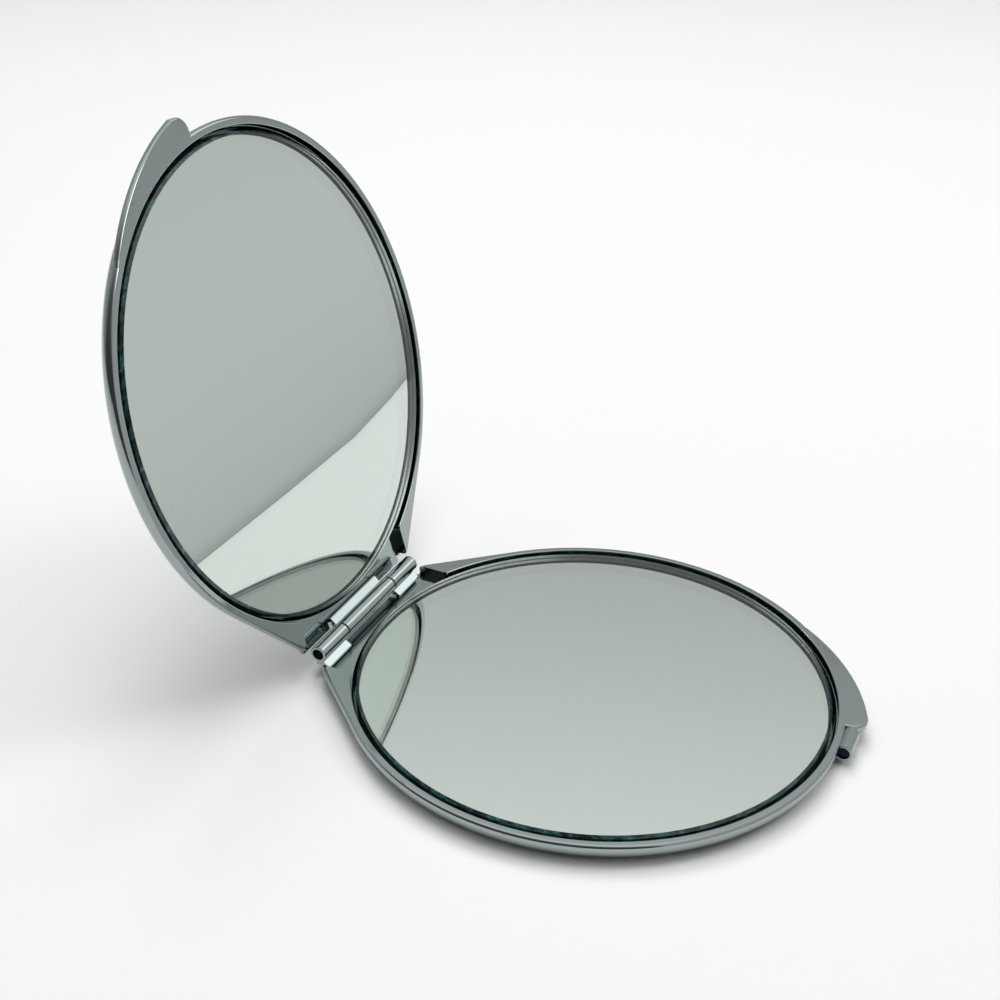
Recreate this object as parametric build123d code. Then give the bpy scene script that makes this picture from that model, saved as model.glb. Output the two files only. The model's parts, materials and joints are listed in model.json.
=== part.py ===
"""Compact mirror: two round plated pans with glass mirrors, joined by a three-knuckle hinge.

Millimetres. The origin is the centre of the lower half's flat outer face, +Z is up, +X points from the
hinge to the front and +Y runs along the hinge to its far end. The lower half lies flat and the upper half
stands open. Both halves are drawn lying flat with their rim up: the upper half is then mirrored about the
height of the hinge axis, which closes it, and turned open about that axis.
"""
from build123d import *
import math
import os

# Stamped pans
rim_radius = 33.0
shell_height = 3.2
base_flat_inset = 6.0
base_rise = 0.5
foot_round = 2.2
rim_edge_round = 0.45
rim_width = 1.1
pan_edge_round = 0.2
pan_corner_round = 1.6
floor_thickness = 0.8

# Mirror stack in each pan
mirror_gap = 0.7
glass_thickness = 1.8
glass_bevel = 0.33
glass_back_chamfer = 0.15
silver_thickness = 0.1
silver_inset = 0.2
adhesive_thickness = 0.4
adhesive_inset = 0.3

# Hinge
hinge_reach = 1.25
hinge_lift = 0.68
barrel_length = 26.4
lid_knuckle_length = 13.0
knuckle_radius = 1.15
knuckle_gap = 0.2
knuckle_edge_round = 0.14
pin_radius = 0.82
pin_edge_round = 0.2
pin_inset = 1.3
running_clearance = 0.04
leaf_edge_thickness = 0.15
leaf_root_thickness = 0.75
leaf_slope_width = 0.95
leaf_front_setback = 0.25
leaf_end_inset = 0.3
foot_width = 1.0

# Hinge platform, sunk into the rim, and the fairings beside it
platform_depth = 1.2
platform_length = 28.0
platform_corner_round = 1.0
fairing_tangent_degrees = 132.5
fairing_back = 0.3
fairing_back_round = 2.4
notch_front_setback = 0.5
notch_depth = 0.3
notch_clearance = 0.15
trough_reach = 1.15
trough_thickness = 0.6
trough_root = 1.0
trough_edge_round = 0.4

# Thumb flanges, one on each side of the centre line
flange_thickness = 1.0
flange_edge_round = 0.3
flange_start_degrees = 46.5
flange_mid_degrees = 29.0
flange_mid_reach = 1.37
flange_tip_degrees = 11.4
flange_tip_reach = 2.68
flange_tip_round = 1.2
flange_tip_drop = 2.6
flange_end_round = 1.9

# Catch
catch_radius = 1.15
catch_bore_radius = 0.85
catch_reach = 0.5
catch_length = 4.25
catch_edge_round = 0.1
magnet_inset = 0.3
magnet_length = 3.0
magnet_edge_round = 0.12

# Pose of the upper half, from closed
open_degrees = 106.0

# Overrun of every cut past the surface that it opens
overrun = 1.0

pan_radius = rim_radius - rim_width
base_flat_radius = rim_radius - base_flat_inset
hinge_x = -(rim_radius + hinge_reach)
hinge_z = shell_height + hinge_lift
platform_z = shell_height - platform_depth
foot_z = base_rise + foot_round
rim_inner_radius = pan_radius + pan_edge_round
flange_end = (rim_radius + flange_tip_reach) * math.sin(math.radians(flange_tip_degrees)) - flange_tip_drop


def polar(radius, degrees):
    """Point at a radius and an angle from the first axis."""
    return (radius * math.cos(math.radians(degrees)), radius * math.sin(math.radians(degrees)))


def pan():
    """Round pan with a shallow cone and a rolled foot outside, an eased rim and a flat floor inside."""
    foot = (rim_radius - foot_round, foot_z)
    reach = math.hypot(foot[0] - base_flat_radius, foot[1])
    slope = math.degrees(math.atan2(foot[1], foot[0] - base_flat_radius) - math.asin(foot_round / reach))
    floor_edge = pan_radius - pan_corner_round
    corner_z = floor_thickness + pan_corner_round
    outline = Curve() + [
        Line((0, 0), (base_flat_radius, 0)),
        Line((base_flat_radius, 0), Vector(foot) + Vector(polar(foot_round, slope - 90))),
        CenterArc(foot, foot_round, slope - 90, 90 - slope),
        Line((rim_radius, foot_z), (rim_radius, shell_height - rim_edge_round)),
        CenterArc((rim_radius - rim_edge_round, shell_height - rim_edge_round), rim_edge_round, 0, 90),
        Line((rim_radius - rim_edge_round, shell_height), (pan_radius, shell_height)),
        Line((pan_radius, shell_height), (pan_radius, corner_z)),
        CenterArc((floor_edge, corner_z), pan_corner_round, 0, -90),
        Line((floor_edge, floor_thickness), (0, floor_thickness)),
        Line((0, floor_thickness), (0, 0)),
    ]
    return revolve(Plane.XZ * make_face(outline), Axis.Z, 360)


def pan_space():
    """Everything inside the pan's wall, which stays free of what is added outside it."""
    return extrude(Circle(pan_radius), shell_height + overrun)


def fairings():
    """Wedge from the rim to the hinge, its flanks tangent to the rim and rounded at the foot as the pan is.

    The corners are rounder than the foot, so that the foot can be rolled around them.
    """
    back_x = -(rim_radius + fairing_back)
    tangent = polar(rim_radius, fairing_tangent_degrees)
    corner_y = (rim_radius ** 2 - back_x * tangent[0]) / tangent[1]
    outline = Polyline(tangent, (back_x, corner_y), (back_x, -corner_y), (tangent[0], -tangent[1]),
                       (0, 0), close=True)
    block = Pos(0, 0, base_rise) * extrude(make_face(outline), shell_height - base_rise)
    corners = block.edges().filter_by(Axis.Z).group_by(Axis.X)[0]
    block = fillet(corners, fairing_back_round)
    for z, radius in ((base_rise, foot_round), (shell_height, rim_edge_round)):
        level = block.edges().group_by(Axis.Z)[0 if z == base_rise else -1]
        outer = level.filter_by(lambda edge: edge.center().X < tangent[0])
        block = fillet(outer, radius)
    return block - pan_space()


def thumb_flange(side):
    """Crescent flange flush with the rim, on the +Y side where side is 1 and on the -Y side where -1."""
    start = polar(rim_radius, flange_start_degrees)
    mid = polar(rim_radius + flange_mid_reach, flange_mid_degrees)
    tip = polar(rim_radius + flange_tip_reach, flange_tip_degrees)
    end = (tip[0], flange_end)
    root = (pan_radius - overrun, flange_end)
    outline = Curve() + [ThreePointArc(start, mid, tip), Line(tip, end), Line(end, root),
                         Line(root, (0, 0)), Line((0, 0), start)]
    plate = Pos(0, 0, shell_height - flange_thickness) * extrude(make_face(outline), flange_thickness)
    for radius, place in ((flange_tip_round, tip[1]), (flange_end_round, flange_end)):
        corner = plate.edges().filter_by(Axis.Z).filter_by(
            lambda edge: edge.center().X > rim_radius).sort_by(lambda edge: abs(edge.center().Y - place))[0]
        plate = fillet(corner, radius)
    for level in (0, -1):
        outer = plate.edges().group_by(Axis.Z)[level].filter_by(
            lambda edge: (edge @ 0.5).X ** 2 + (edge @ 0.5).Y ** 2 > rim_radius ** 2)
        plate = fillet(outer, flange_edge_round)
    plate -= pan_space()
    return plate if side > 0 else mirror(plate, about=Plane.XZ)


def trough(length):
    """Floor of a knuckle notch, carried back under the barrel and rounded below its free edge."""
    width = trough_root + trough_reach
    slab = Pos(-(rim_radius - trough_root + width / 2), 0, -trough_thickness / 2) * Box(
        width, length, trough_thickness)
    free = slab.edges().filter_by(Axis.Y).group_by(Axis.X)[0].group_by(Axis.Z)[0]
    return fillet(free, trough_edge_round)


def half_shell(side, notches):
    """One stamped pan with its fairings, sunk hinge platform, knuckle notches and thumb flange."""
    shell = pan() + fairings() + thumb_flange(side)
    rim = shell.edges().group_by(Axis.Z)[-1].filter_by(
        lambda edge: (edge @ 0.5).X ** 2 + (edge @ 0.5).Y ** 2 < rim_inner_radius ** 2)
    shell = fillet(rim, pan_edge_round)
    reach = rim_radius + fairing_back + overrun
    room = Circle(pan_radius) + Pos(-reach / 2, 0) * Rectangle(reach, platform_length)
    corners = room.vertices().filter_by(lambda corner: -rim_radius < corner.X < 0)
    room = fillet(corners, platform_corner_round)
    shell -= Pos(0, 0, platform_z) * extrude(room, platform_depth + overrun)
    for start, end in notches:
        length = end - start + 2 * notch_clearance
        depth = notch_front_setback + fairing_back + overrun
        shell -= Pos(depth / 2 - reach, (start + end) / 2, platform_z) * Box(depth, length, 2 * notch_depth)
        shell += Pos(0, (start + end) / 2, platform_z - notch_depth) * trough(length)
    return shell


def knuckle(start, end, bore_radius):
    """Hinge knuckle with its foot and the leaf that lies on the platform, thinned towards its front edge."""
    length = end - start
    leaf_length = length - 2 * leaf_end_inset
    here = Pos(hinge_x, (start + end) / 2, 0)
    tube = Cylinder(knuckle_radius, length)
    tube = fillet(tube.edges().filter_by(GeomType.CIRCLE), knuckle_edge_round)
    lying = Pos(0, 0, hinge_z) * Rot(90, 0, 0)
    foot = Pos(0, 0, (platform_z + hinge_z) / 2) * Box(foot_width, leaf_length, hinge_z - platform_z)
    leaf_width = -(rim_radius - leaf_front_setback) - hinge_x
    outline = Polyline((0, platform_z), (leaf_width, platform_z), (leaf_width, platform_z + leaf_edge_thickness),
                       (leaf_width - leaf_slope_width, platform_z + leaf_root_thickness),
                       (0, platform_z + leaf_root_thickness), close=True)
    leaf = extrude(Plane.XZ * make_face(outline), leaf_length / 2, both=True)
    return here * (lying * tube + foot + leaf - lying * Cylinder(bore_radius, length))


def hinge_pin():
    """Pin through the three knuckles, its ends set back inside the outer ones."""
    pin = Cylinder(pin_radius, barrel_length - 2 * pin_inset)
    pin = fillet(pin.edges().filter_by(GeomType.CIRCLE), pin_edge_round)
    return Pos(hinge_x, 0, hinge_z) * Rot(90, 0, 0) * pin


def mirror_stack():
    """Glass, silvering and adhesive disc of one half, seated on its floor."""
    silver_z = floor_thickness + adhesive_thickness
    glass_radius = pan_radius - mirror_gap
    glass = Pos(0, 0, silver_z + silver_thickness) * extrude(Circle(glass_radius), glass_thickness)
    glass = chamfer(glass.edges().group_by(Axis.Z)[-1], glass_bevel)
    glass = chamfer(glass.edges().group_by(Axis.Z)[0], glass_back_chamfer)
    silver = Pos(0, 0, silver_z) * extrude(Circle(glass_radius - silver_inset), silver_thickness)
    adhesive_radius = pan_radius - pan_corner_round - adhesive_inset
    adhesive = Pos(0, 0, floor_thickness) * extrude(Circle(adhesive_radius), adhesive_thickness)
    return glass, silver, adhesive


def catch_cylinder(radius, start, length):
    """Cylinder on the catch barrel's axis, from a place along the front edge."""
    return (Pos(rim_radius + catch_reach, start + length / 2, shell_height - catch_radius)
            * Rot(90, 0, 0) * Cylinder(radius, length))


def catch():
    """Catch barrel with a blind bore, and the magnet set back in its mouth."""
    start = flange_end - catch_length
    barrel = catch_cylinder(catch_radius, start, catch_length)
    barrel = fillet(barrel.edges().group_by(Axis.Y)[0], catch_edge_round)
    barrel -= catch_cylinder(catch_bore_radius, start - overrun, overrun + magnet_inset + magnet_length)
    magnet = catch_cylinder(catch_bore_radius, start + magnet_inset, magnet_length)
    magnet = chamfer(magnet.edges().group_by(Axis.Y)[0], magnet_edge_round)
    return barrel, magnet


def opened(solid):
    """A piece of the upper half, drawn lying flat, closed over the lower half and turned open."""
    closed = mirror(solid, about=Plane(origin=(0, 0, hinge_z), z_dir=(0, 0, 1)))
    return closed.rotate(Axis((hinge_x, 0, hinge_z), (0, -1, 0)), open_degrees)


def build():
    middle = (-lid_knuckle_length / 2, lid_knuckle_length / 2)
    far = (middle[1] + knuckle_gap, barrel_length / 2)
    near = (-far[1], -far[0])
    base_shell = half_shell(1, [middle])
    base_shell -= catch_cylinder(catch_radius, flange_end - catch_length - overrun, catch_length + overrun)
    glass, silver, adhesive = mirror_stack()
    barrel, magnet = catch()
    return {
        "base_shell": base_shell,
        "base_near_knuckle": knuckle(*near, pin_radius),
        "base_far_knuckle": knuckle(*far, pin_radius),
        "hinge_pin": hinge_pin(),
        "base_mirror_glass": glass,
        "base_mirror_silvering": silver,
        "base_adhesive_disc": adhesive,
        "catch_barrel": barrel,
        "catch_magnet": magnet,
        "lid_shell": opened(half_shell(-1, [near, far])),
        "lid_knuckle": opened(knuckle(*middle, pin_radius + running_clearance)),
        "lid_mirror_glass": opened(glass),
        "lid_mirror_silvering": opened(silver),
        "lid_adhesive_disc": opened(adhesive),
    }


if __name__ == "__main__":
    os.makedirs("parts", exist_ok=True)
    for name, solid in build().items():
        export_step(solid, f"parts/{name}.step")
        print(name, len(solid.solids()), round(solid.volume, 2))
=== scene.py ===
"""Looks of a compact mirror that stands open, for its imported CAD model.

Laid out as an add-on and run as a script.
"""
import json
import math

import bmesh
import bpy
from bpy.props import FloatProperty, FloatVectorProperty, IntProperty, PointerProperty
from mathutils import Matrix, Vector


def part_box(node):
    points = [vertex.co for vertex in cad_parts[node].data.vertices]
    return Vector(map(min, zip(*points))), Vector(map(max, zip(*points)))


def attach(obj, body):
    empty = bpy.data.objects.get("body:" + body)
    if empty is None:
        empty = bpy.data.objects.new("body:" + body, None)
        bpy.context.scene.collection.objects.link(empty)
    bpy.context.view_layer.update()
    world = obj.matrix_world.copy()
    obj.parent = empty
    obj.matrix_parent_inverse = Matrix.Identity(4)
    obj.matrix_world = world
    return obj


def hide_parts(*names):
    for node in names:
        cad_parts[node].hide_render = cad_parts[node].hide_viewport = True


bl_info = {
    "name": "Compact mirror",
    "version": (1, 0, 0),
    "blender": (4, 5, 0),
    "location": "View3D > Sidebar > Compact mirror",
    "description": "Plated round compact mirror: two glass mirrors, a hinge and a magnetic catch",
    "category": "Object",
}

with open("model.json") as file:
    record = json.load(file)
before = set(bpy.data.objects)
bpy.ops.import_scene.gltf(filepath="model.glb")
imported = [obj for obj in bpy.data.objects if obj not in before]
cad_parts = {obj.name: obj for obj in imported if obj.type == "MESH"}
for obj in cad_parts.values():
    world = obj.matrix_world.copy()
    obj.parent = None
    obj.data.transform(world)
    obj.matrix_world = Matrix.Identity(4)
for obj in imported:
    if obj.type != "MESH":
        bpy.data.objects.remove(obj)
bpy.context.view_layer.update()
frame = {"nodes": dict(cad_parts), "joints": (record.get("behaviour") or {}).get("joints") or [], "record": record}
nodes = frame["nodes"]
hinge_joint = frame["joints"][0]
hinge_place = Vector(hinge_joint["pos_m"])
lid_normal = Vector(next(m["axis"] for m in frame["record"]["mounts"] if m["name"] == "lid_face"))

MM = 0.001

# Finishing the plated halves: vertices nearer than WELD become one and edges shorter than SPECK
# go. SLACK is how far a vertex may lie from the surface it stands for, FAN_SLACK how far the
# middle of an edge may, and LEAST_GAIN how much nearer a turned edge has to come. UPRIGHT, the
# cosine to the true normal, keeps a turned face from folding over.
WELD = 0.0005 * MM
SPECK = 0.0002 * MM
SLACK = 0.003 * MM
FAN_SLACK = 0.15 * MM
LEAST_GAIN = 0.0005 * MM
UPRIGHT = 0.3
TURN_ROUNDS = 60
LARGEST_FACES_FIRST = 100
# Edges over this angle stay sharp. A corner takes the true normal where its face is within the
# angle of one of the next two cosines, for faces that are wholly or partly on the surface.
SHELL_SHARP = math.radians(62)
WHOLLY_TURNED = math.cos(SHELL_SHARP)
PARTLY_TURNED = math.cos(math.radians(25))

# Edges of the glass over this angle stay sharp. Then the slots of its materials.
GLASS_SHARP = math.radians(30)
CLEAR, SILVERED, GROUND = range(3)

# The stage, in metres: half the table's side, and the wall that only reflections show.
TABLE_REACH = 3.0
WALL_HEIGHT = 0.10
WALL_FOOT = tuple((x * MM, y * MM) for x, y in (
    (62, -60), (64, 0), (67, 60), (66.5, 110), (68, 145), (78, 180), (96, 230), (150, 330),
    (230, 480)))
# Height as a share of the wall's, and the wall's glow there as a share of its full glow. The dimmer glow near the
# foot is painted shade where the wall meets the table.
WALL_LEVELS = ((0.0, 0.62), (0.012, 0.80), (0.03, 0.94), (0.08, 1.0))
WALL_FOOT_SHADE = 0.60
# Name, place, diameter and power of each lamp.
LAMPS = (("above left", (-0.20, 0.30, 0.60), 0.36, 1.246),
         ("above", (0.0, 0.0, 0.70), 0.30, 0.825),
         ("far right", (0.70, 0.50, 0.90), 0.50, 2.388))
# Direction and strength of each small window, and the cosines between which its edge fades.
SIDE_WINDOWS = (((0.66, 0.18, 0.73), 1.0), ((0.42, 0.73, 0.53), 0.4))
SIDE_WINDOW_EDGE = (0.970, 0.988)
SENSOR_WIDTH = 36.0
CAMERA_SHIFT = (0.0471, 0.1149)
CAMERA_CLIP = (0.005, 10.0)


def color(name, description, default):
    """A property for a colour."""
    return FloatVectorProperty(name=name, description=description, subtype="COLOR",
                               size=3, min=0, max=1, default=default)


def length(name, description, default):
    """A property for a length."""
    return FloatProperty(name=name, description=description, subtype="DISTANCE",
                         unit="LENGTH", min=0, default=default)


def strength(name, description, default):
    """A property for a brightness, a power or a share of one."""
    return FloatProperty(name=name, description=description, min=0, default=default)


class PlatingProperties(bpy.types.PropertyGroup):
    """Colours and finish of the plated metal, and the sizes that its surfaces are shaded by."""
    shell_color: color("Pan plating", "Colour of the plating on both halves",
                       (0.347, 0.395, 0.392))
    hinge_color: color("Hinge plating", "Colour of the knuckles and their leaves",
                       (0.405, 0.465, 0.46))
    # The pin's near black is painted shade: it stands in for the shade inside the knuckles' bore.
    pin_color: color("Pin steel", "Colour of the hinge pin", (0.07, 0.073, 0.078))
    # The magnet's near black blue is a painted dark reflection: it stands in for the shade that the magnet's face
    # reflects inside the barrel.
    magnet_color: color("Magnet coating", "Colour of the catch magnet", (0.012, 0.018, 0.035))
    polish: FloatProperty(
        name="Polish", description="Roughness of the cleanest plating", min=0, max=1,
        default=0.06)
    haze: FloatProperty(
        name="Handling haze", description="Roughness of the most handled plating", min=0, max=1,
        default=0.15)
    rim_radius: length("Rim radius", "Radius of the rim", 33.0 * MM)
    rim_top: length("Rim top", "Height of the rim of the lower half", 3.2 * MM)
    rim_width: length("Rim width", "Width of the rim around the mirror", 1.1 * MM)
    rim_round: length("Rim round", "Radius of the rim's outer edge", 0.45 * MM)
    rim_inner_round: length("Rim round, inner", "Radius of the rim's inner edge", 0.2 * MM)
    flat_radius: length("Flat radius", "Radius of the flat outer face", 27.0 * MM)
    flange_middle: FloatVectorProperty(
        name="Flange middle", description="Middle of the arc of the thumb flange's outer edge",
        subtype="COORDINATES", unit="LENGTH", size=2, default=(3.15048 * MM, -3.16289 * MM))
    flange_radius: length("Flange radius", "Radius of the thumb flange's outer edge",
                          33.42486 * MM)
    flange_from: length("Flange start", "Where the thumb flange starts, from the pan's middle",
                        22.7 * MM)
    flange_thickness: length("Flange thickness", "Thickness of the thumb flange", 1.0 * MM)
    flange_round: length("Flange round", "Radius of the thumb flange's edges", 0.3 * MM)
    foot_round: length("Foot round", "Radius of the rolled foot", 2.2 * MM)
    foot_height: length("Foot height", "Height of the top of the rolled foot", 2.7 * MM)


class MirrorProperties(bpy.types.PropertyGroup):
    """Sizes and colours of the two glass mirrors."""
    bevel: length("Bevel", "Width of the bevel around the glass", 0.33 * MM)
    back_chamfer: length("Back chamfer", "Width of the chamfer behind the glass", 0.15 * MM)
    back_gap: length("Back gap", "Gap between the glass and the silvering's solid", 0.01 * MM)
    edge_steps: IntProperty(
        name="Edge steps", description="Steps around the glass", min=48, max=720, default=288)
    silver_color: color("Silvering", "Colour of the silvering seen through the glass",
                        (0.70, 0.765, 0.725))
    glass_color: color("Glass", "Tint of the clear glass", (0.975, 0.99, 0.98))
    edge_dark_color: color("Ground edge, dark", "Darkest colour of the ground edge",
                           (0.002, 0.008, 0.010))
    edge_light_color: color("Ground edge, light", "Colour of the ground edge's lighter patches",
                            (0.018, 0.085, 0.082))
    edge_speck_color: color("Ground edge, specks", "Colour of the ground edge's brightest specks",
                            (0.10, 0.30, 0.29))
    edge_inside_color: color("Ground edge, inside",
                             "Colour of the ground edge seen from inside the glass",
                             (0.80, 0.88, 0.86))
    adhesive_color: color("Adhesive", "Colour of the mounting film", (0.74, 0.74, 0.70))


class StageProperties(bpy.types.PropertyGroup):
    """Floor, light and camera."""
    floor_color: color("Floor", "Colour of the table", (0.92, 0.925, 0.92))
    fill_top: strength("Fill, top", "Strength of the even light from above", 1.305)
    fill_left: strength("Fill, left", "Strength of the even light behind the upper half", 0.161)
    lamp_share: strength("Lamps", "Power of the three lamps as a share", 1.03)
    room_low: strength("Room, low", "Brightness of the room near the horizon in reflections",
                       0.50)
    room_high: strength("Room, high", "Brightness of the room overhead in reflections", 0.93)
    wall_level: strength("Far wall", "Brightness of the far wall in reflections", 0.575)
    window: strength("Window", "Brightness of the window overhead, as a multiple of the room",
                     1.3)
    side_window: strength("Windows, right",
                          "Brightness of the two small windows on the right, added to the room",
                          3.0)
    room_front: strength("Room, front", "Share of the room's brightness on the camera's side",
                         0.15)
    camera_place: FloatVectorProperty(
        name="Camera place", description="Place of the camera", subtype="TRANSLATION",
        unit="LENGTH", size=3, default=(50.645 * MM, -143.422 * MM, 113.823 * MM))
    camera_turn: FloatVectorProperty(
        name="Camera turn", description="Turn of the camera", subtype="EULER", unit="ROTATION",
        size=3, default=tuple(math.radians(a) for a in (56.1857, -0.2039, 26.5565)))
    focal_share: FloatProperty(
        name="Focal share", description="Focal length as a share of the sensor's width", min=0.1,
        default=1.41113)


def settings(name):
    """The property group of that name."""
    return getattr(bpy.context.scene, name)


def rgba(given):
    """A colour with full alpha."""
    return (*given, 1.0)


def fill(tree, node, values):
    """Sets a node's inputs, and links those that are given another node's output."""
    for key, value in values.items():
        if isinstance(value, bpy.types.NodeSocket):
            tree.links.new(value, node.inputs[key])
        else:
            node.inputs[key].default_value = value


def add(tree, kind, values=None, **attributes):
    """A new shader node with its attributes set, then its inputs."""
    node = tree.nodes.new(f"ShaderNode{kind}")
    for key, value in attributes.items():
        setattr(node, key, value)
    fill(tree, node, values or {})
    return node


def object_place(tree):
    """Object coordinates, which every material of this file reads."""
    return add(tree, "TexCoord").outputs["Object"]


def new_material(name):
    """A fresh material, its node tree and its Principled BSDF."""
    material = bpy.data.materials.new(name)
    material.use_nodes = True
    tree = material.node_tree
    return material, tree, tree.nodes["Principled BSDF"]


def mottled(tree, given, darkest, noise):
    """A colour that a noise darkens in places, down to a share of itself."""
    grain = add(tree, "TexNoise", {"Vector": object_place(tree), **noise})
    return add(tree, "Mix", {"Factor": grain.outputs["Fac"],
                             "A": rgba([darkest * c for c in given]),
                             "B": rgba(given)}, data_type="RGBA").outputs["Result"]


def dress(obj, material):
    """Gives an object one material in every slot."""
    obj.data.materials.clear()
    obj.data.materials.append(material)


def handling_group():
    """Shared marks of use: soft haze patches, fine random scratches and faint unevenness."""
    name = "Handling marks"
    if name in bpy.data.node_groups:
        return bpy.data.node_groups[name]
    group = bpy.data.node_groups.new(name, "ShaderNodeTree")
    face = group.interface
    for label, default in (("Clean", 0.06), ("Hazed", 0.15), ("Patch Scale", 70.0),
                           ("Scratch Scale", 900.0), ("Unevenness", 0.02)):
        socket = face.new_socket(label, in_out="INPUT", socket_type="NodeSocketFloat")
        socket.default_value = default
    face.new_socket("Roughness", in_out="OUTPUT", socket_type="NodeSocketFloat")
    face.new_socket("Normal", in_out="OUTPUT", socket_type="NodeSocketVector")
    given = group.nodes.new("NodeGroupInput").outputs
    out = group.nodes.new("NodeGroupOutput")
    place = object_place(group)
    patches = add(group, "TexNoise", {"Vector": place, "Scale": given["Patch Scale"],
                                      "Detail": 3.0})
    ripple = add(group, "TexNoise", {"Vector": place, "Scale": given["Patch Scale"]})
    stretch = add(group, "Mapping", {"Vector": place, "Rotation": (0.3, 0.2, 0.7),
                                     "Scale": (1.0, 0.12, 1.0)})
    scratches = add(group, "TexNoise", {"Vector": stretch.outputs["Vector"],
                                        "Scale": given["Scratch Scale"],
                                        "Detail": 6.0, "Distortion": 2.5})
    lines = add(group, "MapRange", {"Value": scratches.outputs["Fac"],
                                    "From Min": 0.60, "From Max": 0.72})
    marks = add(group, "Math", {0: patches.outputs["Fac"], 1: lines.outputs["Result"]},
                operation="MAXIMUM")
    spread = add(group, "MapRange", {"Value": marks.outputs["Value"],
                                     "From Min": 0.35, "From Max": 0.80,
                                     "To Min": given["Clean"], "To Max": given["Hazed"]})
    bump = add(group, "Bump", {"Height": ripple.outputs["Fac"], "Distance": 0.02 * MM,
                               "Strength": given["Unevenness"]})
    fill(group, out, {"Roughness": spread.outputs["Result"], "Normal": bump.outputs["Normal"]})
    return group


def metal(name, given, clean, hazed):
    """Plated or drawn metal of a colour, with the shared marks of use between two roughnesses."""
    material, tree, shader = new_material(name)
    marks = add(tree, "Group", {"Clean": clean, "Hazed": hazed}, node_tree=handling_group())
    fill(tree, shader, {"Base Color": rgba(given), "Metallic": 1.0,
                        "Roughness": marks.outputs["Roughness"],
                        "Normal": marks.outputs["Normal"]})
    return material


def silver_material(given):
    """Silvering: a clean metal film with a very faint mottling."""
    material, tree, shader = new_material("Silvering")
    film = mottled(tree, given, darkest=0.985, noise={"Scale": 120.0})
    fill(tree, shader, {"Base Color": film, "Metallic": 1.0, "Roughness": 0.0})
    return material


def glass_material(given):
    """Clear polished glass."""
    material, tree, shader = new_material("Mirror glass")
    fill(tree, shader, {"Base Color": rgba(given), "Roughness": 0.0, "IOR": 1.52,
                        "Transmission Weight": 1.0})
    return material


def ground_edge_material(name, given, tilt):
    """Ground glass edge: near black and teal patches with bright specks, drawn out around it."""
    material, tree, shader = new_material(name)
    lay = add(tree, "Mapping", {"Vector": object_place(tree), "Rotation": (0, tilt, 0),
                                "Scale": (1.0, 1.0, 0.28)}, vector_type="TEXTURE")
    patches = add(tree, "TexNoise", {"Vector": lay.outputs["Vector"], "Scale": 640.0,
                                     "Detail": 4.0, "Roughness": 0.62, "Distortion": 0.6})
    ramp = add(tree, "ValToRGB", {"Fac": patches.outputs["Fac"]})
    stops = ramp.color_ramp.elements
    stops[0].position, stops[0].color = 0.46, rgba(given.edge_dark_color)
    stops[1].position, stops[1].color = 0.55, rgba(given.edge_light_color)
    stops.new(0.61).color = rgba(given.edge_light_color)
    stops.new(0.68).color = rgba(given.edge_speck_color)
    inside = add(tree, "NewGeometry").outputs["Backfacing"]
    seen = add(tree, "Mix", {"Factor": inside, "A": ramp.outputs["Color"],
                             "B": rgba(given.edge_inside_color)}, data_type="RGBA")
    bump = add(tree, "Bump", {"Height": patches.outputs["Fac"], "Strength": 0.35,
                              "Distance": 0.05 * MM})
    fill(tree, shader, {"Base Color": seen.outputs["Result"], "Metallic": inside,
                        "Roughness": 0.28, "Coat Weight": 0.6, "Coat Roughness": 0.08,
                        "Normal": bump.outputs["Normal"]})
    return material


def film_material(given):
    """Matt mounting film with a faint fibre pattern."""
    material, tree, shader = new_material("Mounting film")
    fibres = mottled(tree, given, darkest=0.85, noise={"Scale": 900.0, "Detail": 4.0})
    fill(tree, shader, {"Base Color": fibres, "Roughness": 0.7})
    return material


def link_object(name, data):
    """An object for a mesh, a lamp or a camera, in the scene."""
    obj = bpy.data.objects.new(name, data)
    bpy.context.scene.collection.objects.link(obj)
    return obj


def link_bmesh(name, bm):
    """An object made of a bmesh, which is freed."""
    mesh = bpy.data.meshes.new(name)
    bm.to_mesh(mesh)
    bm.free()
    return link_object(name, mesh)


def smooth_by_angle(bm, limit):
    """Shades faces smooth and keeps edges sharper than the angle."""
    for face in bm.faces:
        face.smooth = True
    for edge in bm.edges:
        edge.smooth = len(edge.link_faces) == 2 and edge.calc_face_angle(0) < limit


def lid_matrix():
    """Carries what is drawn on the lower half into the upper half's place, standing open."""
    angle = math.atan2(-lid_normal.x, lid_normal.z)
    return (Matrix.Translation(hinge_place) @ Matrix.Rotation(angle, 4, (0, -1, 0))
            @ Matrix.Diagonal((1, 1, -1, 1)) @ Matrix.Translation(-hinge_place))


def turned_about(place, middle, rounds, wall, slack):
    """Nearest place on a wall turned about a middle or on its edge rounds, and the normal there.

    Each round has a distance from the middle, a height, a radius, 1 for the wall's outside or
    -1 for its inside, and 1 for its upper or -1 for its lower edge. The wall has a radius and
    two heights. The answer is None where neither is nearer than the slack.
    """
    out, up = Vector((place.x, place.y, 0)) - middle, Vector((0, 0, 1))
    far = out.length
    if far < SLACK:
        return None
    out /= far
    for across, height, bend, side, end in rounds:
        r, z = far - across, place.z - height
        reach = math.hypot(r, z)
        if r * side > -SLACK and z * end > -SLACK and abs(reach - bend) < slack:
            normal = (out * r + up * z) / reach
            return middle + out * across + up * height + normal * bend, normal
    radius, low, high = wall
    if abs(far - radius) < slack and low < place.z < high:
        return middle + out * radius + up * place.z, out
    return None


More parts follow.
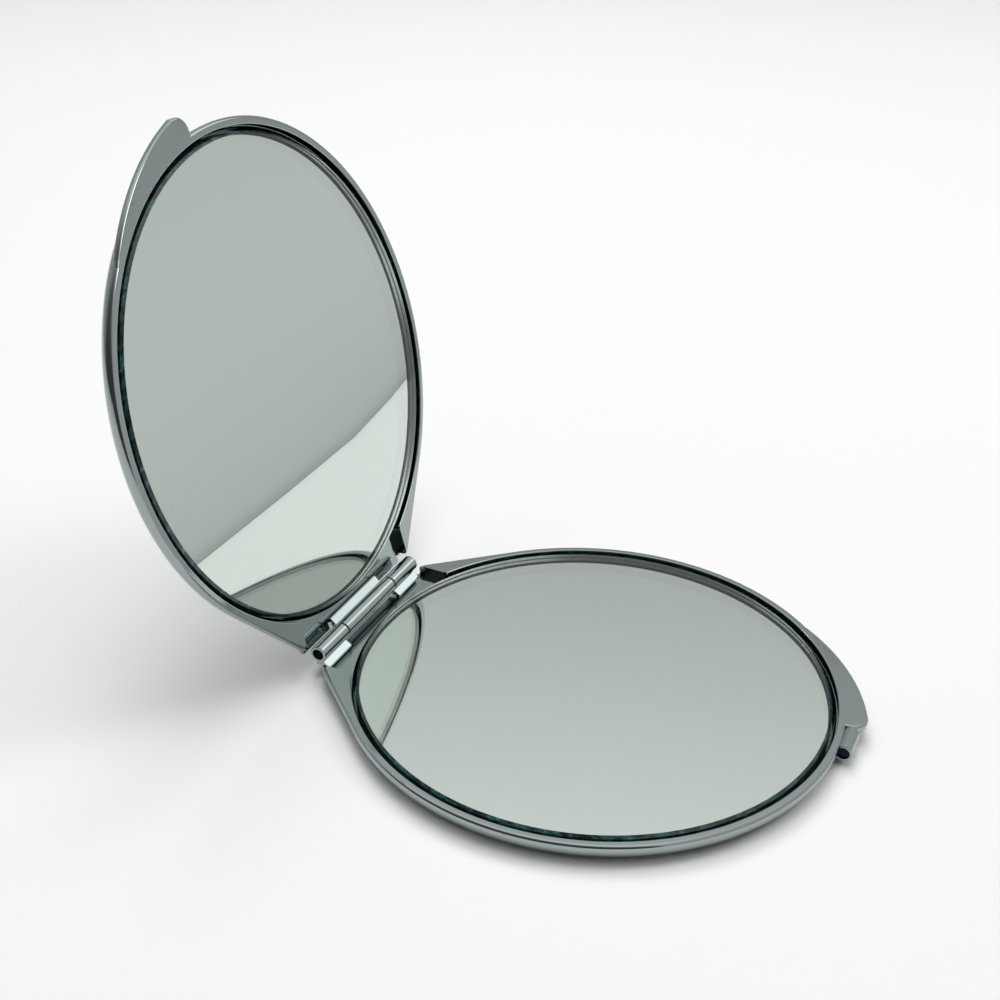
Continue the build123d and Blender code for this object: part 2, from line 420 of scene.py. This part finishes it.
def turned_surface(place, given, slack):
    """Nearest place on the turned outside of a lower half, and the normal there, or None."""
    top, radius, bend = given.rim_top, given.rim_radius, given.rim_round
    edge, lip = radius - bend, radius - given.rim_width + given.rim_inner_round
    edge_round = (edge, top - bend, bend, 1, 1)
    lip_round = (lip, top - given.rim_inner_round, given.rim_inner_round, -1, 1)
    foot = (radius - given.foot_round, given.foot_height, given.foot_round, 1, -1)
    found = turned_about(place, Vector((0, 0, 0)), (edge_round, lip_round, foot),
                         (radius, given.foot_height, top - bend), slack)
    if found:
        return found
    if abs(place.z - top) < SLACK and lip < math.hypot(place.x, place.y) < edge:
        return place.copy(), Vector((0, 0, 1))
    if place.x < given.flange_from:
        return None
    x, y = given.flange_middle
    bend, under = given.flange_round, top - given.flange_thickness
    return turned_about(place, Vector((x, math.copysign(y, -place.y), 0)),
                        ((given.flange_radius - bend, top - bend, bend, 1, 1),
                         (given.flange_radius - bend, under + bend, bend, 1, -1)),
                        (given.flange_radius, under + bend, top - bend), slack)


def face_parts(given):
    """The outer face's flat and its cone.

    Each has a radius that it starts at, one that it ends at, its normal across and up, and its
    distance from the origin along that normal.
    """
    flat, up = given.flat_radius, given.foot_height
    out = given.rim_radius - given.foot_round - given.flat_radius
    slope = math.atan2(up, out) - math.asin(given.foot_round / math.hypot(out, up))
    cone = (math.sin(slope), -math.cos(slope))
    end = given.rim_radius - given.foot_round + given.foot_round * math.sin(slope)
    return (0, flat, (0, -1), 0), (flat, end, cone, flat * cone[0])


def follow_turned(bm, back, given):
    """Turns edges between turned faces, so that each lies as near to the true surface as it can."""
    turned = {vert for vert in bm.verts if turned_surface(back @ vert.co, given, SLACK)}

    def strays(one, other):
        """How far the middle of an edge between two vertices would be from the surface."""
        middle = back @ ((one.co + other.co) / 2)
        found = turned_surface(middle, given, FAN_SLACK)
        return (found[0] - middle).length if found else FAN_SLACK

    def upright(face):
        """Whether a face points the way the surface does."""
        found = turned_surface(back @ face.verts[0].co, given, SLACK)
        face.normal_update()
        return (back.to_3x3() @ face.normal).dot(found[1]) > UPRIGHT

    for _ in range(TURN_ROUNDS):
        changed = False
        for edge in list(bm.edges):
            faces = edge.link_faces
            if len(faces) != 2 or any(len(face.verts) != 3 for face in faces):
                continue
            far = [next(vert for vert in face.verts if vert not in edge.verts) for face in faces]
            if not turned.issuperset((*edge.verts, *far)) or bm.edges.get(far):
                continue
            if strays(*far) < strays(*edge.verts) - LEAST_GAIN:
                fresh = bmesh.utils.edge_rotate(edge, False)
                if fresh and not all(upright(face) for face in fresh.link_faces):
                    bmesh.utils.edge_rotate(fresh, True)
                else:
                    changed = True
        if not changed:
            break


def even_normals(obj):
    """A mesh's corner normals, weighted by the faces' areas and broken at sharp edges."""
    weighted = obj.modifiers.new("Even shading", "WEIGHTED_NORMAL")
    weighted.keep_sharp = True
    weighted.weight = LARGEST_FACES_FIRST
    even = obj.evaluated_get(bpy.context.evaluated_depsgraph_get())
    normals = [Vector(corner.vector) for corner in even.data.corner_normals]
    obj.modifiers.remove(weighted)
    return normals


def set_turned_normals(normals, mesh, there, given):
    """Corner normals of the turned surfaces, on the faces that lie near enough to them."""
    back, turn = there.inverted(), there.to_3x3()
    true = [turned_surface(back @ vert.co, given, SLACK) for vert in mesh.vertices]
    for face in mesh.polygons:
        whole = all(true[vert] for vert in face.vertices)
        limit = WHOLLY_TURNED if whole else PARTLY_TURNED
        for corner, vert in zip(face.loop_indices, face.vertices):
            if true[vert] and (turn @ true[vert][1]).dot(face.normal) > limit:
                normals[corner] = turn @ true[vert][1]


def set_outside_normals(normals, mesh, there, given):
    """Corner normals of the outer face's flat and cone, on the faces that lie on them."""
    back, turn = there.inverted(), there.to_3x3()
    outside = face_parts(given)
    for face in mesh.polygons:
        places = [back @ mesh.vertices[vert].co for vert in face.vertices]
        fars = [math.hypot(place.x, place.y) for place in places]
        for start, end, (across, up), away in outside:
            if all(start - SLACK < far < end + SLACK
                   and abs(far * across + place.z * up - away) < SLACK
                   for far, place in zip(fars, places)):
                for corner, far, place in zip(face.loop_indices, fars, places):
                    far = max(far, SLACK)
                    normals[corner] = turn @ Vector((across * place.x / far,
                                                     across * place.y / far, up))


def plated_skin(node):
    """Welded copy of a stamped half, its turned faces shaded as the surfaces they stand for."""
    given = settings("compact_plating")
    there = lid_matrix() if node == "lid_shell" else Matrix.Identity(4)
    bm = bmesh.new()
    bm.from_mesh(nodes[node].data)
    bmesh.ops.remove_doubles(bm, verts=bm.verts, dist=WELD)
    bmesh.ops.dissolve_degenerate(bm, edges=bm.edges, dist=SPECK)
    follow_turned(bm, there.inverted(), given)
    smooth_by_angle(bm, SHELL_SHARP)
    obj = link_bmesh(f"{node}_plated", bm)
    normals = even_normals(obj)
    set_turned_normals(normals, obj.data, there, given)
    set_outside_normals(normals, obj.data, there, given)
    obj.data.normals_split_custom_set(normals)
    return obj


def glass_disc(name, on_lid, materials):
    """Mirror glass: a clear face over its silvering, with a bevelled and ground edge."""
    given = settings("compact_mirrors")
    lo, hi = (Vector(c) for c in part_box("base_mirror_glass"))
    radius, back, front = (hi.x - lo.x) / 2, lo.z + given.back_gap, hi.z
    profile = [(radius - given.back_chamfer, back), (radius, back + given.back_chamfer),
               (radius, front - given.bevel), (radius - given.bevel, front)]
    angles = [math.tau * step / given.edge_steps for step in range(given.edge_steps)]
    bm = bmesh.new()
    low, high = bm.verts.new((0, 0, back)), bm.verts.new((0, 0, front))
    rings = [[bm.verts.new((r * math.cos(a), r * math.sin(a), z)) for a in angles]
             for r, z in profile]
    for one, two in zip(range(given.edge_steps), (*range(1, given.edge_steps), 0)):
        bm.faces.new((low, rings[0][two], rings[0][one])).material_index = SILVERED
        for under, over in zip(rings, rings[1:]):
            side = bm.faces.new((under[one], under[two], over[two], over[one]))
            side.material_index = GROUND
        bm.faces.new((high, rings[-1][one], rings[-1][two])).material_index = CLEAR
    bm.normal_update()
    smooth_by_angle(bm, GLASS_SHARP)
    if on_lid:
        bmesh.ops.transform(bm, verts=bm.verts, matrix=lid_matrix())
        bmesh.ops.reverse_faces(bm, faces=bm.faces)
    obj = link_bmesh(name, bm)
    for material in materials:
        obj.data.materials.append(material)
    return obj


class COMPACT_OT_shells(bpy.types.Operator):
    """Plate the two stamped halves"""
    bl_idname = "compact.shells"
    bl_label = "Plated halves"

    def execute(self, context):
        given = settings("compact_plating")
        plating = metal("Pan plating", given.shell_color, given.polish, given.haze)
        for node, body in (("base_shell", "base"), ("lid_shell", "lid")):
            skin = plated_skin(node)
            dress(skin, plating)
            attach(skin, body)
            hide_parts(node)
        return {"FINISHED"}


class COMPACT_OT_mirrors(bpy.types.Operator):
    """Make the two glass mirrors and finish what holds them"""
    bl_idname = "compact.mirrors"
    bl_label = "Glass mirrors"

    def execute(self, context):
        given = settings("compact_mirrors")
        silver = silver_material(given.silver_color)
        glass = glass_material(given.glass_color)
        film = film_material(given.adhesive_color)
        lean = math.atan2(lid_normal.x, -lid_normal.z)
        for body, tilt in (("base", 0.0), ("lid", lean)):
            edge = ground_edge_material(f"Ground glass edge, {body}", given, tilt)
            disc = glass_disc(f"{body}_glass", body == "lid", (glass, silver, edge))
            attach(disc, body)
            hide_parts(f"{body}_mirror_glass")
            dress(nodes[f"{body}_mirror_silvering"], silver)
            dress(nodes[f"{body}_adhesive_disc"], film)
        return {"FINISHED"}


class COMPACT_OT_hinge(bpy.types.Operator):
    """Finish the knuckles and the pin"""
    bl_idname = "compact.hinge"
    bl_label = "Hinge"

    def execute(self, context):
        given = settings("compact_plating")
        plating = metal("Hinge plating", given.hinge_color, given.polish, given.haze)
        for node in ("base_near_knuckle", "base_far_knuckle", "lid_knuckle"):
            dress(nodes[node], plating)
        # The pin's near black colour is painted shade of the bore it is set back in.
        dress(nodes["hinge_pin"], metal("Pin steel", given.pin_color, clean=0.22, hazed=0.38))
        return {"FINISHED"}


class COMPACT_OT_catch(bpy.types.Operator):
    """Finish the catch barrel and its magnet"""
    bl_idname = "compact.catch"
    bl_label = "Catch"

    def execute(self, context):
        given = settings("compact_plating")
        plating = metal("Catch plating", given.shell_color, given.polish, given.haze)
        # The magnet's near black blue is a painted dark reflection of the shade inside the barrel.
        painted_reflection = metal("Magnet coating", given.magnet_color, clean=0.18, hazed=0.32)
        dress(nodes["catch_barrel"], plating)
        dress(nodes["catch_magnet"], painted_reflection)
        return {"FINISHED"}


class COMPACT_OT_stage(bpy.types.Operator):
    """Set the floor, the light and the camera"""
    bl_idname = "compact.stage"
    bl_label = "Stage"

    def execute(self, context):
        given = settings("compact_stage")
        scene = context.scene
        scene.view_settings.view_transform = "Standard"
        self.floor(given)
        self.far_wall(given)
        self.lamps(given)
        self.world(scene, given)
        self.camera(scene, given)
        return {"FINISHED"}

    def floor(self, given):
        """The table that the mirror stands on."""
        bm = bmesh.new()
        bmesh.ops.create_grid(bm, x_segments=1, y_segments=1, size=TABLE_REACH)
        table = link_bmesh("table", bm)
        material, tree, shader = new_material("Table")
        top = mottled(tree, given.floor_color, darkest=0.98, noise={"Scale": 9.0})
        fill(tree, shader, {"Base Color": top, "Roughness": 0.75})
        dress(table, material)

    def far_wall(self, given):
        """A low glowing wall beyond the mirror that only reflections show, dimmer towards its foot as painted
        shade where it meets the table.
        """
        bm = bmesh.new()
        low = [bm.verts.new((x, y, 0)) for x, y in WALL_FOOT]
        edges = [bm.edges.new(pair) for pair in zip(low, low[1:])]
        raised = bmesh.ops.extrude_edge_only(bm, edges=edges)["geom"]
        top = [item for item in raised if isinstance(item, bmesh.types.BMVert)]
        bmesh.ops.translate(bm, verts=top, vec=(0, 0, WALL_HEIGHT))
        wall = link_bmesh("far_wall", bm)
        material, tree, shader = new_material("Far wall")
        split = add(tree, "SeparateXYZ", {"Vector": object_place(tree)})
        share = add(tree, "Math", {0: split.outputs["Z"], 1: 1 / WALL_HEIGHT},
                    operation="MULTIPLY")
        levels = add(tree, "FloatCurve", {"Value": share.outputs["Value"]})
        curve = levels.mapping.curves[0]
        for height, level in WALL_LEVELS:
            curve.points.new(height, level * given.wall_level)
        curve.points[-1].location = (1.0, given.wall_level)
        # The foot's dimmer glow is painted shade where the wall meets the table.
        curve.points[0].location = (0.0, WALL_FOOT_SHADE * given.wall_level)
        levels.mapping.update()
        fill(tree, shader, {"Base Color": (0, 0, 0, 1), "Specular IOR Level": 0.0,
                            "Emission Color": levels.outputs["Value"],
                            "Emission Strength": 1.0})
        dress(wall, material)
        wall.visible_camera = False
        wall.visible_diffuse = False
        wall.visible_shadow = False

    def lamps(self, given):
        """Three round lamps that point at the mirror and that nothing reflects."""
        for name, place, size, power in LAMPS:
            data = bpy.data.lights.new(name, "AREA")
            data.shape = "DISK"
            data.size = size
            data.energy = power * given.lamp_share
            lamp = link_object(name, data)
            lamp.location = place
            lamp.visible_glossy = lamp.visible_transmission = False
            lamp.rotation_euler = (-Vector(place)).to_track_quat("-Z", "Y").to_euler()

    def world(self, scene, given):
        """White to the camera, a room with windows to reflections, and even light to the rest."""
        world = bpy.data.worlds.new("Light tent")
        scene.world = world
        world.use_nodes = True
        tree = world.node_tree
        way = add(tree, "TexCoord").outputs["Generated"]
        axes = add(tree, "SeparateXYZ", {"Vector": way}).outputs
        ray = add(tree, "LightPath").outputs

        def ramp(value, low, high, at_low, at_high):
            """Brightness that runs smoothly from one level to another as a value rises."""
            return add(tree, "MapRange", {"Value": value, "From Min": low, "From Max": high,
                                          "To Min": at_low, "To Max": at_high},
                       interpolation_type="SMOOTHSTEP").outputs["Result"]

        def blend(factor, a, b):
            """Mixes two levels."""
            mix = add(tree, "Mix", {"Factor": factor, "A": a, "B": b})
            return mix.outputs["Result"]

        def join(a, b, operation):
            """Joins two levels."""
            return add(tree, "Math", {0: a, 1: b}, operation=operation).outputs["Value"]

        sides = ramp(axes["Z"], low=0.45, high=0.80, at_low=given.room_low,
                     at_high=given.room_high)
        window = ramp(axes["Z"], low=0.90, high=0.97, at_low=1.0, at_high=given.window)
        around = ramp(axes["Y"], low=-0.55, high=0.0, at_low=given.room_front, at_high=1.0)
        reflected = join(join(sides, window, "MULTIPLY"), around, "MULTIPLY")
        for toward, share in SIDE_WINDOWS:
            near = add(tree, "VectorMath", {0: way, 1: Vector(toward).normalized()},
                       operation="DOT_PRODUCT").outputs["Value"]
            spot = ramp(near, *SIDE_WINDOW_EDGE, 0.0, share * given.side_window)
            reflected = join(reflected, spot, "ADD")
        above = ramp(axes["Z"], low=0.60, high=0.95, at_low=0.0, at_high=given.fill_top)
        left = ramp(axes["X"], low=-0.70, high=0.0, at_low=given.fill_left, at_high=0.0)
        lit = join(above, left, "ADD")
        seen = join(ray["Is Glossy Ray"], ray["Is Transmission Ray"], "MAXIMUM")
        level = blend(ray["Is Camera Ray"], blend(seen, lit, reflected), 1.0)
        fill(tree, tree.nodes["Background"], {"Strength": level, "Color": (1.0, 1.0, 1.0, 1.0)})

    def camera(self, scene, given):
        """The camera that was fitted to the mirror."""
        data = bpy.data.cameras.new("camera")
        data.sensor_width = SENSOR_WIDTH
        data.lens = given.focal_share * data.sensor_width
        data.shift_x, data.shift_y = CAMERA_SHIFT
        data.clip_start, data.clip_end = CAMERA_CLIP
        camera = link_object("camera", data)
        camera.location = given.camera_place
        camera.rotation_euler = given.camera_turn
        scene.camera = camera


class COMPACT_PT_panel(bpy.types.Panel):
    """Sizes, colours and making of the compact mirror"""
    bl_label = "Compact mirror"
    bl_space_type = "VIEW_3D"
    bl_region_type = "UI"
    bl_category = "Compact mirror"

    def draw(self, context):
        for name in GROUPS:
            box = self.layout.box()
            group = settings(name)
            for key in group.__annotations__:
                box.prop(group, key)
        for operator in OPERATORS:
            self.layout.operator(operator.bl_idname)


GROUPS = {"compact_plating": PlatingProperties, "compact_mirrors": MirrorProperties,
          "compact_stage": StageProperties}
OPERATORS = (COMPACT_OT_shells, COMPACT_OT_mirrors, COMPACT_OT_hinge, COMPACT_OT_catch,
             COMPACT_OT_stage)
CLASSES = (*GROUPS.values(), *OPERATORS, COMPACT_PT_panel)


def register():
    for cls in CLASSES:
        bpy.utils.register_class(cls)
    for name, group in GROUPS.items():
        setattr(bpy.types.Scene, name, PointerProperty(type=group))


def unregister():
    for name in GROUPS:
        delattr(bpy.types.Scene, name)
    for cls in reversed(CLASSES):
        bpy.utils.unregister_class(cls)


def main():
    register()
    bpy.ops.compact.shells()
    bpy.ops.compact.mirrors()
    bpy.ops.compact.hinge()
    bpy.ops.compact.catch()
    bpy.ops.compact.stage()


if __name__ == "__main__":
    main()
